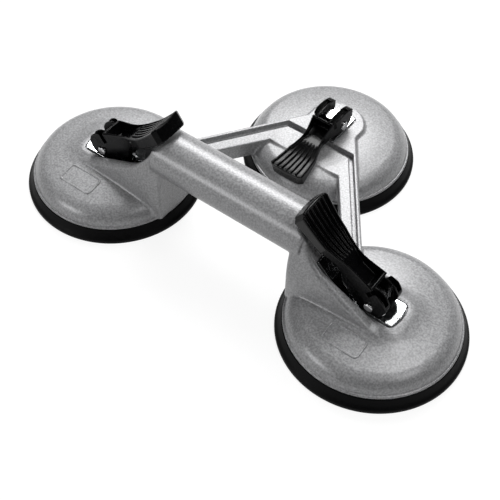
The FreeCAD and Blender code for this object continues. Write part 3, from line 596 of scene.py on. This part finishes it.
@dataclass
class Casting:
    """The one-piece casting: three domes, two necks, the handle and the yoke."""

    shell: float = 54.5
    wall: float = 3.5
    rim: float = 8.5
    crown: float = 24.5
    crown_round: float = 256.5
    shoulder: float = 10.2
    ledge: float = 1.2
    rim_edge: float = 10.5
    boss_middle: float = 6.25
    boss_half: Point = (14.25, 12.8)
    boss_corner: float = 7.5
    boss_flare: float = math.radians(68)
    boss_top: float = 26.4
    boss_base: float = 21.4
    grip_z: float = 54.7
    grip: float = 15.8
    grip_wall: float = 4.0
    grip_half: float = 56.3
    hollow_half: float = 46.5
    slot_half: float = 7.0
    neck_base: float = 6.0
    neck_reach: float = 53.8
    neck_half: float = 20.0
    neck_half_high: float = 12.4
    taper_length: float = 9.0
    taper_way: Point = (0.316, 0.949)
    ridge_top: float = 64.0
    channel_mouth: Point = (43.8, 61.0)
    channel_walls: tuple[Point, Point] = ((0.902, 0.433), (0.643, 0.765))
    channel_gap: float = 0.6
    channel_half: float = 11.6
    seat_gap: float = 0.8
    moat_depth: float = 1.2
    yoke_top: float = 26.0
    yoke_base: float = 11.0
    yoke_wall: float = 3.0
    yoke_hollow: float = 17.4
    arm_way: Point = (0.816, 0.578)
    arm_split: float = 30.0
    split: float = 40.0
    rib: float = 2.4
    rib_back: float = 40.2
    flange_drop: float = 2.0
    flange_slope: float = 0.12
    groove_width: float = 3.0
    groove_floor: float = 22.0
    groove_end: float = -32.5
    hub: float = 9.5
    hub_ends: Point = (17.0, 22.5)
    stud_bore: float = 5.08
    step: float = 0.7
    label_half: Point = (12.2, 6.6)
    label_corner: float = 2.6
    label_y: float = -30.4
    bead: float = 0.75
    bead_rise: float = 0.9

    def dome(self, r: Array, z: Array, inset: float = 0.0) -> Array:
        """Distance to a dome: a wide sphere cut by an upright barrel, the edge well rounded."""
        centre = self.crown - self.crown_round
        top = np.hypot(r, z - centre) - self.crown_round + inset
        return meet(top, r - self.shell + self.ledge + inset, self.shoulder - inset)

    def rim_ring(self, r: Array, z: Array) -> Array:
        """Distance to the rim, which stands out from the shoulder by a narrow ledge."""
        return meet(r - self.shell, z - self.rim_edge, 0.7)

    def boss(self, s: Array, w: Array, z: Array) -> Array:
        """Distance to a front boss: a flat top whose outline flares downwards."""
        edge = box(s + self.boss_middle, w, *self.boss_half, self.boss_corner)
        above = z - self.boss_top
        sides = edge * math.cos(self.boss_flare) + above * math.sin(self.boss_flare)
        return np.maximum(meet(sides, above, 0.8), self.boss_base - z)

    def neck(self, s: Array, w: Array, z: Array) -> Array:
        """Distance to a neck: a side outline, two leaning cheeks and two tapered corners."""
        toe, shelf = RIDGE[0]
        side = polygon(s, z, [(toe, self.neck_base), (self.neck_reach, self.neck_base),
                              (self.neck_reach, self.ridge_top), *RIDGE[::-1]])
        lean = (self.neck_half - self.neck_half_high) / (self.ridge_top - shelf)
        across = np.abs(w) - self.neck_half
        cheek = (across + (z - shelf) * lean) * math.cos(math.atan(lean))
        along, aside = self.taper_way
        taper = (s - self.neck_reach + self.taper_length) * along + across * aside
        return meet(meet(side, meet(across, cheek, 2.0), 2.6), taper, 2.0)

    def handle(self, x: Array, w: Array, z: Array) -> Array:
        """Distance to the handle: a round bar whose ends stop inside the necks."""
        return meet(np.hypot(w, z - self.grip_z) - self.grip, np.abs(x) - self.grip_half, 1.5)

    def handle_hollow(self, x: Array, w: Array, z: Array) -> Array:
        """Distance to the space inside the handle: a bore with a slot out of its underside."""
        bore = np.hypot(w, z - self.grip_z) - self.grip + self.grip_wall
        slot = np.maximum(np.abs(w) - self.slot_half, z - self.grip_z)
        return meet(merge(bore, slot, 1.0), np.abs(x) - self.hollow_half, 1.5)

    def edge_distance(self, x: Array, y: Array) -> Array:
        """Distance inwards from the yoke's rib to where its groove starts, negative inwards."""
        (foot_x, foot_y), (way_x, way_y) = YOKE[0], self.arm_way
        arm = (np.abs(x) - foot_x) * way_x + (y - foot_y) * way_y + self.rib
        return np.maximum(arm, y - self.rib_back)

    def yoke(self, x: Array, y: Array, z: Array) -> Array:
        """Distance to the yoke: its outline, a lower flange inside, and a hollow below."""
        plan = polygon(x, y, YOKE)
        block = meet(meet(plan, z - self.yoke_top, 1.1), self.yoke_base - z, 0.8)
        inwards = self.edge_distance(x, y) + self.groove_width
        top = self.yoke_top - self.flange_drop + self.flange_slope * inwards
        flange = np.maximum(inwards, top - z)
        hollow = np.maximum(plan + self.yoke_wall, z - self.yoke_hollow)
        return carve(carve(block, flange, 0.7), hollow, 0.8)

    def groove(self, x: Array, y: Array, z: Array) -> Array:
        """Distance to the groove beside the yoke's rib, down to the necks' sides."""
        inwards = self.edge_distance(x, y)
        band = np.maximum(inwards, -inwards - self.groove_width)
        return np.maximum(np.maximum(band, self.groove_floor - z), self.groove_end - y)

    def channel(self, plate: WearPlate, s: Array, w: Array, z: Array) -> Array:
        """Distance to the channel over a neck: above the plate's line, below the lever."""
        mouth_s, mouth_z = self.channel_mouth
        walls = [(s - mouth_s) * out - (z - mouth_z) * up for out, up in self.channel_walls]
        floor = -(plate.depth(s, z) + self.channel_gap)
        return meet(meet(floor, np.minimum(*walls), 1.5), np.abs(w) - self.channel_half, 0.6)

    def recess(self, plate: WearPlate, s: Array, w: Array, z: Array) -> Array:
        """Distance to a wear plate's seat and the narrow moat round its edge."""
        outline, depth = plate.plan(s, w, z), plate.depth(s, z) + plate.thick
        moat = np.maximum(np.abs(outline) - self.seat_gap, -depth - self.moat_depth)
        return np.minimum(np.maximum(outline - self.seat_gap, -depth), moat)

    def solid(self, x: Array, y: Array, z: Array) -> Array:
        """Distance to the whole casting.

        The two halves mirror each other, so the fronts are worked out once from |x|. Outer
        solids are merged with fillets, then the hollows, the channels and the seats are cut.
        """
        front, rear = WearPlate(Station.RIGHT), WearPlate(Station.REAR)
        s, w, back = CUP_X - np.abs(x), y + CUP_Y, CUP_Y - y
        near, far = np.hypot(s, w), np.hypot(x, back)
        nearest = np.minimum(near, far)
        body = merge(self.dome(near, z), self.boss(s, w, z), 1.2)
        arms = merge(self.neck(s, w, z), self.handle(x, w, z), 1.0)
        body = merge(body, arms, 2.0)
        body = merge(body, merge(self.dome(far, z), self.yoke(x, y, z), 1.6), 1.6)
        body = merge(body, self.rim_ring(nearest, z), 0.3)
        body = meet(body, self.rim - z, 0.5)
        inside = np.minimum(self.dome(near, z, self.wall), self.dome(far, z, self.wall))
        body = carve(body, np.minimum(inside, self.handle_hollow(x, w, z)), 0.8)
        hub = np.maximum(self.hub_ends[0] - z, z - self.hub_ends[1])
        body = np.minimum(body, np.maximum(nearest - self.hub, hub))
        body = carve(body, self.groove(x, y, z), 0.5)
        body = carve(body, self.channel(front, s, w, z), 1.0)
        body = carve(body, self.recess(front, s, w, z), 0.2)
        body = carve(body, self.recess(rear, back, x, z), 0.2)
        return carve(body, nearest - self.stud_bore, 0.2)

    def parts(self) -> dict[str, tuple[Solid, tuple, tuple]]:
        """Share the casting's skin between four meshes, so each is light.

        Returns:
            Part name to the rule for the faces that it owns, and the box to search. The
            borders are planes: two across the handle and one across each arm.
        """
        def arm_side(x: Array, y: Array, side: int) -> Array:
            """Distance past the border across one arm, positive towards its front dome."""
            return side * x * self.arm_way[1] - y * self.arm_way[0] - self.arm_split

        def front(side: int) -> Solid:
            """Return the rule of one front dome with its neck and half an arm."""
            return lambda x, y, z: (side * x >= self.split) & (arm_side(x, y, side) > 0)

        return {
            "handle": (lambda x, y, z: (np.abs(x) < self.split) & (y < -30.0),
                       (-42, -70, 37), (42, -35, 72)),
            "left_dome": (front(-1), (-158, -108, 7), (-37, 5, 72)),
            "right_dome": (front(1), (37, -108, 7), (158, 5, 72)),
            "rear_dome": (lambda x, y, z: ((arm_side(x, y, 1) <= 0)
                                           & (arm_side(x, y, -1) <= 0) & (y > -40.0)),
                          (-76, -38, 7), (76, 108, 28)),
        }

    def build(self) -> None:
        """Build the casting's four meshes; together they stand for the casting's node."""
        made = [self.painted(skin_of(self.solid, low, high, self.step, owned), f"casting_{part}")
                for part, (owned, low, high) in self.parts().items()]
        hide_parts("body_casting")

    def painted(self, skin: Skin, name: str) -> bpy.types.Object:
        """Show a skin of the casting under a name of its own."""
        item = skin.piece(name, CASTING_PAINT.material())
        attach(item, "frame")
        return item

    def label_frames(self) -> None:
        """Build the raised rims of the two bare label places, one on each front dome."""
        for station, middle in ((Station.LEFT, -1.8), (Station.RIGHT, -1.9)):
            x, y, _ = station.value
            skin = self.label_rim(middle).placed(Matrix.Translation((x, y, 0)))
            self.painted(skin, f"label_rim_{station.word}")

    def label_rim(self, middle: float) -> Skin:
        """One raised rim: a half-round bead carried round a rounded rectangle on the dome.

        Args:
            middle: Place of the rim's middle along X, from the cup's axis.

        Returns:
            The bead; a point at angle t round it stands bead cos t out and bead rise times
            bead sin t up from the dome's own height at that point.
        """
        (half_x, half_y), corner = self.label_half, self.label_corner
        long_steps, ring_steps = 120, 12
        turn = np.linspace(0, 2 * np.pi, long_steps + 1)[:-1]
        quarter = np.floor(turn / (np.pi / 2))
        sign_x = np.where((quarter == 0) | (quarter == 3), 1, -1)
        sign_y = np.where(quarter < 2, 1, -1)
        line = np.stack([sign_x * (half_x - corner) + corner * np.cos(turn),
                         sign_y * (half_y - corner) + corner * np.sin(turn)], axis=1)
        out = np.stack([np.cos(turn), np.sin(turn)], axis=1)
        line = line + [middle, self.label_y]
        ring = np.linspace(0, 2 * np.pi, ring_steps + 1)[:-1]
        spread = line[:, None] + self.bead * np.cos(ring)[None, :, None] * out[:, None]
        radius = np.hypot(spread[..., 0], spread[..., 1])
        ground = self.crown - self.crown_round + np.sqrt(self.crown_round ** 2 - radius ** 2)
        height = ground + self.bead_rise * self.bead * np.sin(ring)[None, :]
        points = np.concatenate([spread, height[..., None]], axis=-1).reshape(-1, 3)
        return Skin(points, lattice(long_steps, ring_steps, closed=True)[:, [0, 3, 2, 1]])


# ---- levers
def smooth_line(points: Sequence[Point]) -> list[Point]:
    """Carry a curve through points.

    Between two points it is the cubic whose slope at each is half the step from the point
    before to the point after.

    Args:
        points: Points in order.

    Returns:
        The sampled curve, both ends included.
    """
    spots = np.array([points[0], *points, points[-1]], float)
    t = np.linspace(0, 1, CURVE_STEPS, endpoint=False)[:, None]
    out = []
    for before, a, b, after in zip(spots, spots[1:], spots[2:], spots[3:]):
        start, end = (b - before) / 2, (after - a) / 2
        part = ((2 * t ** 3 - 3 * t ** 2 + 1) * a + (t ** 3 - 2 * t ** 2 + t) * start
                + (3 * t ** 2 - 2 * t ** 3) * b + (t ** 3 - t ** 2) * end)
        out += [tuple(row) for row in part]
    return [*out, tuple(spots[-1])]


@dataclass(frozen=True)
class LeverForm:
    """What differs between the front levers and the rear one; the tilt is above level."""

    length: float
    tilt: float
    tip: float
    belly: float
    keel: Point
    pocket_start: float


FRONT_LEVER = LeverForm(69.0, math.radians(35.0), 4.5, -0.8, (20.0, -8.0), -4.8)
REAR_LEVER = LeverForm(54.0, math.radians(-17.0), 7.0, 1.5, (16.0, -1.0), -8.6)


@dataclass
class Lever:
    """A cam lever: two prongs with a cam under them, a trough, and a ribbed thumb pad.

    Its own frame has u along it, w across it and v up through it, all from the pin. Its lines
    are given as shares of the way from the fork's crotch to the thumb end.
    """

    station: Station
    low: float = 5.7
    lift: float = 5.0
    travel: float = math.radians(90)
    heel: float = 6.5
    crotch: Point = (8.0, 11.5)
    fork: float = 9.7
    slot: float = 4.2
    bore: float = 3.05
    prong_bulge: float = 2.2
    pocket_middle: float = 6.9
    pocket_half: float = 1.7
    pocket_floor: float = 4.6
    nose: float = 9.8
    top_line: tuple[Point, ...] = (
        (0.0, 11.5), (0.10, 10.3), (0.36, 7.0), (0.61, 7.0), (0.85, 10.0), (0.975, 12.5))
    flank_line: tuple[Point, ...] = (
        (-0.13, 9.7), (0.03, 8.2), (0.26, 7.0), (0.43, 8.6), (0.57, 10.6), (0.94, 12.4))
    ribs: int = 5
    rib_depth: float = 1.7
    rib_share: float = 0.10
    rim_share: float = 0.13
    rib_ends: Point = (0.34, 0.965)
    trough: float = 3.5
    ramp_ends: Point = (0.22, 0.42)
    ramp_power: float = 1.3
    waist: float = 7.0
    cross_wall: float = 1.6
    end_heights: Point = (11.0, 2.2)
    step: float = 0.4

    @property
    def form(self) -> LeverForm:
        """The proportions of this lever."""
        return REAR_LEVER if self.station is Station.REAR else FRONT_LEVER

    def reach(self, share: float) -> float:
        """Return the distance from the pin at a share of the way to the thumb end."""
        return self.crotch[0] + share * (self.form.length - self.crotch[0])

    def own(self, s: float, z: float) -> Point:
        """Turn a stowed place into the lever's own u and v."""
        c, q = math.cos(self.form.tilt), math.sin(self.form.tilt)
        return s * c + z * q, z * c - s * q

    def top(self) -> list[Point]:
        """Return the sampled top line in u and v."""
        return smooth_line([(self.reach(share), v) for share, v in self.top_line])

    def side(self) -> list[Point]:
        """Side outline in u and v.

        The cam's reach below the pin is low + rate t at turn t, so its point is
        reach (sin t, -cos t) + rate (cos t, sin t), measured out and up.

        Returns:
            Outline points in walking order.
        """
        rate = self.lift / self.travel
        cam = []
        for t in np.linspace(0, self.travel, 13):
            reach = self.low + rate * t
            cam.append(self.own(-reach * math.sin(t) - rate * math.cos(t),
                                rate * math.sin(t) - reach * math.cos(t)))
        out = self.low + self.lift
        tip = self.own(-out, self.form.tip)
        half = np.linalg.norm(np.subtract(self.crotch, tip)) / 2
        bulge = self.prong_bulge
        prong = arc(tip, self.crotch, -(half ** 2 + bulge ** 2) / (2 * bulge))
        flat = [(self.reach(share), self.form.belly) for share in (0.61, 0.36)]
        end = [(self.form.length, v) for v in self.end_heights]
        return [*cam, *prong, *self.top()[1:], *end, *smooth_line([*flat, self.form.keel]),
                self.own(self.heel, -self.low)]

    def flank(self) -> list[Point]:
        """Return one flank's line in u and w: a curve to the pad's corner, then straight."""
        spots = [(self.reach(share), w) for share, w in self.flank_line]
        return [*smooth_line(spots[:-1]), spots[-1]]

    def plan(self) -> list[Point]:
        """Return the plan outline in u and w: fork, waist, flare and a blunt end."""
        line = [*self.flank(), (self.reach(0.985), self.nose)]
        back = self.form.length - line[-1][0]
        radius = (self.nose ** 2 + back ** 2) / (2 * back)
        tail = arc(line[-1], (line[-1][0], -line[-1][1]), -radius)
        return [(-20.0, self.fork), *line, *tail[1:-1],
                *[(u, -w) for u, w in line[::-1]], (-20.0, -self.fork)]

    def solid(self, u: Array, w: Array, v: Array) -> Array:
        """Distance to the lever.

        The side and plan outlines overlap with rounded edges. The trough and the grooves are
        taken out, then the fork's slot, the pin's bore and a cored pocket in each prong.
        """
        body = meet(polygon(u, v, self.side()), polygon(u, w, self.plan()), 1.1)
        body = self.ribbed(body, u, w, v)
        slot = meet(np.abs(w) - self.slot, u - self.crotch[0], 0.4)
        body = carve(body, slot, 0.35)
        start = self.form.pocket_start
        half = (self.crotch[0] - start) / 2
        aside = np.abs(w) - self.pocket_middle
        pocket = box(u - start - half, aside, half, self.pocket_half, 0.4)
        body = carve(body, np.maximum(pocket, self.pocket_floor - v), 0.3)
        return carve(body, np.hypot(u, v) - self.bore, 0.25)

    def ribbed(self, body: Array, u: Array, w: Array, v: Array) -> Array:
        """Take the trough and the grooves between the ribs out of the body.

        With t the share of the half width, a rib stands wherever t is a whole number of
        pitches, so the ribs fan out as the flanks do. Each rule is scaled back to millimetres
        by the half width.
        """
        half = np.interp(u, *np.array(self.flank()).T)
        share = np.abs(w) / half
        pitch = 2 * (1 - self.rim_share) / (self.ribs + 1)
        rib = np.round(share / pitch)
        beside = np.abs(share - rib * pitch) - self.rib_share / 2
        beside = np.where(rib > (self.ribs - 1) / 2, pitch, beside)
        inner = np.minimum(beside, 1 - self.rim_share - share) * half
        depth = np.interp(u, *np.array(self.top()).T) - self.rib_depth - v
        first, last = (self.reach(share) for share in self.rib_ends)
        length = np.maximum(first - u, u - last)
        grooves = meet(meet(-inner, depth, 0.5), length, 0.8)
        body = carve(body, grooves, 0.35)
        start, end = (self.reach(share) for share in self.ramp_ends)
        ramp = np.clip((end - u) / (end - start), 0, 1)
        low = self.waist - self.rib_depth + 0.3
        floor = low + (self.trough - low) * ramp ** self.ramp_power - v
        ends = np.maximum(self.crotch[0] + self.cross_wall - u, u - end)
        sides = (share - 1 + self.rim_share) * half
        return carve(body, meet(meet(sides, floor, 1.0), ends, 0.8), 0.4)

    def build(self) -> None:
        """Build the lever in its stowed place."""
        high = (self.form.length + 1, 13, 15)
        skin = skin_of(self.solid, (-14, -13, -13), high, self.step)
        turn = self.station.matrix(PIN_HEIGHT) @ Matrix.Rotation(-self.form.tilt, 4, "Y")
        dress(skin.placed(turn), f"{self.station.word}_lever", BLACK_PLASTIC,
              f"{self.station.word}_arm")


# ---- cups
@dataclass
class CupSet:
    """A cup's rubber, pin, stud and hidden steel."""

    station: Station
    rubber: float = 59.0
    seat: float = 50.5
    shoulder: float = 54.2
    rim: float = 8.5
    pin: float = 3.0
    pin_half: float = 11.2
    stud_radius: float = 5.0
    stud_flat: float = 3.8
    stud_low: float = 8.2
    stud_top: float = 37.8
    flat_low: float = 21.5
    coil_base: float = 20.0
    coil_top: float = 12.4
    coil_low: float = 10.7
    coil_high: float = 20.39
    coil_turns: float = 2.0
    coil_steps: int = 160
    wire: float = 1.6
    stroke: float = 5.0

    def rubber_cup(self) -> None:
        """Build the rubber cup: a disc with a lip that flares to the floor."""
        profile = softened([
            (0, 3.7, 0), (47.5, 2.2, 3.0), (56.0, 0.02, 0.8), (self.rubber, 0.0, 0.5),
            (self.rubber, 2.4, 1.0), (57.2, 4.2, 2.0), (55.6, 7.0, 1.2),
            (self.shoulder + 0.6, self.rim, 0.5), (self.seat, self.rim, 0.4),
            (self.seat, 7.9, 0.4), (0, 7.9, 0)])
        skin = turned(profile, 180).placed(self.station.matrix())
        dress(skin, f"{self.station.word}_rubber_cup", BLACK_RUBBER, "frame")

    def pivot_pin(self) -> None:
        """Build the lever's pin, with chamfered, slightly domed ends."""
        half, edge = self.pin_half, 0.6
        top = [(0, half, 0), (1.6, half - 0.12, 0.5), (self.pin - edge, half - 0.2, 0.3),
               (self.pin, half - edge, 0.3)]
        profile = softened([*((r, -z, corner) for r, z, corner in top), *top[::-1]])
        turn = self.station.matrix(PIN_HEIGHT) @ Matrix.Rotation(math.pi / 2, 4, "X")
        dress(turned(profile, 64).placed(turn), f"{self.station.word}_pivot_pin",
              BRIGHT_STEEL, f"{self.station.word}_stud")

    def stud(self, s: Array, w: Array, z: Array) -> Array:
        """Distance to the stud: round below, flat-sided above, with a rounded top."""
        shank = meet(np.hypot(s, w) - self.stud_radius, z - self.stud_top, 0.8)
        flat = meet(shank, np.abs(w) - self.stud_flat, 0.5)
        body = np.maximum(np.where(z > self.flat_low, flat, shank), self.stud_low - z)
        return carve(body, np.hypot(s, z - PIN_HEIGHT) - self.pin, 0.1)

    def draw_stud(self) -> None:
        """Build the stud in the cup's own frame and place it."""
        skin = skin_of(self.stud, (-6, -6, 7), (6, 6, 39), 0.35)
        dress(skin.placed(self.station.matrix()), f"{self.station.word}_draw_stud",
              BRIGHT_STEEL, f"{self.station.word}_stud")

    def backing_plate(self) -> None:
        """Give the backing plate, whose plain form is right, its finish."""
        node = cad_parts[f"{self.station.word}_backing_plate"]
        node.data.materials.clear()
        node.data.materials.append(ZINC_STEEL.material())
        LOG.info("%s keeps its plain form", node.name)

    def return_spring(self) -> None:
        """Wind the spring that sits under the dome.

        A point at turn t of the coil stands at a radius that shrinks evenly from base to top
        while its height grows evenly, and carries the corners of the wire's section.
        """
        sides = self.coil_steps
        share = np.linspace(0, 1, sides + 1)
        angle = 2 * np.pi * self.coil_turns * share
        outer = self.coil_base + (self.coil_top - self.coil_base) * share
        low = self.coil_low + (self.coil_high - self.wire - self.coil_low) * share
        radius = outer[:, None] - self.wire * np.array([1, 0, 0, 1])
        height = low[:, None] + self.wire * np.array([0, 0, 1, 1])
        points = np.stack([radius * np.cos(angle)[:, None], radius * np.sin(angle)[:, None],
                           height], axis=-1).reshape(-1, 3)
        corners = np.arange(4)
        faces = [lattice(sides + 1, 4)[:, [1, 2, 3, 0]], [corners[::-1], sides * 4 + corners]]
        skin = Skin(points, np.concatenate(faces)).placed(self.station.matrix())
        word = self.station.word
        item = dress(skin, f"{word}_return_spring", SPRING_STEEL, "frame")
        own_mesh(item)

    def build(self) -> None:
        """Build every piece of the cup."""
        self.rubber_cup()
        self.pivot_pin()
        self.draw_stud()
        self.backing_plate()
        self.return_spring()


# ---- stage
@dataclass
class Stage:
    """A pale floor, soft light from both sides, and the camera."""

    azimuth: float = math.radians(35.69)
    elevation: float = math.radians(51.86)
    roll: float = math.radians(1.27)
    distance: float = 0.6447
    target: Triple = (0.0079, -0.0489, 0.0)
    lens: float = 72.26
    sensor: float = 36.0
    floor_grey: float = 0.22
    floor_glow: float = 0.86
    floor_size: float = 60.0
    world: float = 0.03
    aim: Triple = (0.0, 0.0, 0.02)

    def floor(self) -> None:
        """Lay a pale floor that shows white and keeps a light shadow.

        The floor adds its own grey, lit by the lamps, to a plain glow that only camera, glossy
        and transmission rays see: colour = grey light + glow (camera or glossy or transmission).
        """
        bpy.ops.mesh.primitive_plane_add(size=self.floor_size)
        floor = bpy.context.object
        floor.name = "floor"
        made, tree, body = shader("pale_floor")
        fill(body, {"Base Color": (self.floor_grey,) * 3 + (1,), "Roughness": 0.9,
                    "Specular IOR Level": 0.1, "Emission Color": (1, 1, 1, 1)})
        rays = tree.nodes.new("ShaderNodeLightPath")
        seen = rays.outputs["Is Camera Ray"]
        for kind in ("Is Glossy Ray", "Is Transmission Ray"):
            either = tree.nodes.new("ShaderNodeMath")
            either.operation = "MAXIMUM"
            tree.links.new(seen, either.inputs[0])
            tree.links.new(rays.outputs[kind], either.inputs[1])
            seen = either.outputs["Value"]
        glow = tree.nodes.new("ShaderNodeMath")
        glow.operation = "MULTIPLY"
        glow.inputs[1].default_value = self.floor_glow
        tree.links.new(seen, glow.inputs[0])
        tree.links.new(glow.outputs["Value"], body.inputs["Emission Strength"])
        floor.data.materials.append(made)

    def lamp(self, name: str, place: Triple, size: Point, watts: float) -> None:
        """Hang a soft lamp that faces the object.

        Args:
            name: Lamp name.
            place: Where it hangs, in metres.
            size: Width and height of its face.
            watts: Its power.
        """
        light = bpy.data.lights.new(name, "AREA")
        light.shape = "RECTANGLE"
        light.size, light.size_y = size
        light.energy = watts
        item = bpy.data.objects.new(name, light)
        item.location = place
        facing = Vector(self.aim) - Vector(place)
        item.rotation_euler = facing.to_track_quat("-Z", "Y").to_euler()
        bpy.context.scene.collection.objects.link(item)

    def camera(self) -> None:
        """Set the camera by its direction, distance, lens and roll."""
        data = bpy.data.cameras.new("camera")
        data.lens = self.lens
        data.sensor_width = self.sensor
        item = bpy.data.objects.new("camera", data)
        item.matrix_world = (Matrix.Translation(self.target)
                             @ Matrix.Rotation(self.azimuth, 4, "Z")
                             @ Matrix.Rotation(math.pi / 2 - self.elevation, 4, "X")
                             @ Matrix.Rotation(self.roll, 4, "Z")
                             @ Matrix.Translation((0, 0, self.distance)))
        bpy.context.scene.collection.objects.link(item)
        bpy.context.scene.camera = item

    def build(self) -> None:
        """Set up floor, lamps, world and camera."""
        scene = bpy.context.scene
        scene.view_settings.view_transform = "Standard"
        scene.world = scene.world or bpy.data.worlds.new("world")
        scene.world.use_nodes = True
        fill(scene.world.node_tree.nodes["Background"],
             {"Color": (1, 1, 1, 1), "Strength": self.world})
        self.floor()
        self.lamp("back_box", (-0.42, 0.62, 0.86), (0.70, 0.42), 11.4)
        self.lamp("front_strip", (-0.48, -1.02, 0.41), (0.50, 0.18), 3.4)
        self.lamp("top_box", (0.30, 0.28, 1.13), (0.36, 0.36), 3.0)
        self.lamp("right_box", (0.84, -0.15, 0.85), (0.36, 0.36), 2.0)
        self.camera()


def main() -> None:
    """Build the object, then the stage."""
    logging.basicConfig(level=logging.INFO, format="%(message)s")
    casting = Casting()
    casting.build()
    casting.label_frames()
    for station in Station:
        WearPlate(station).build()
        CupSet(station).build()
        Lever(station).build()
    Stage().build()


if __name__ == "__main__":
    main()
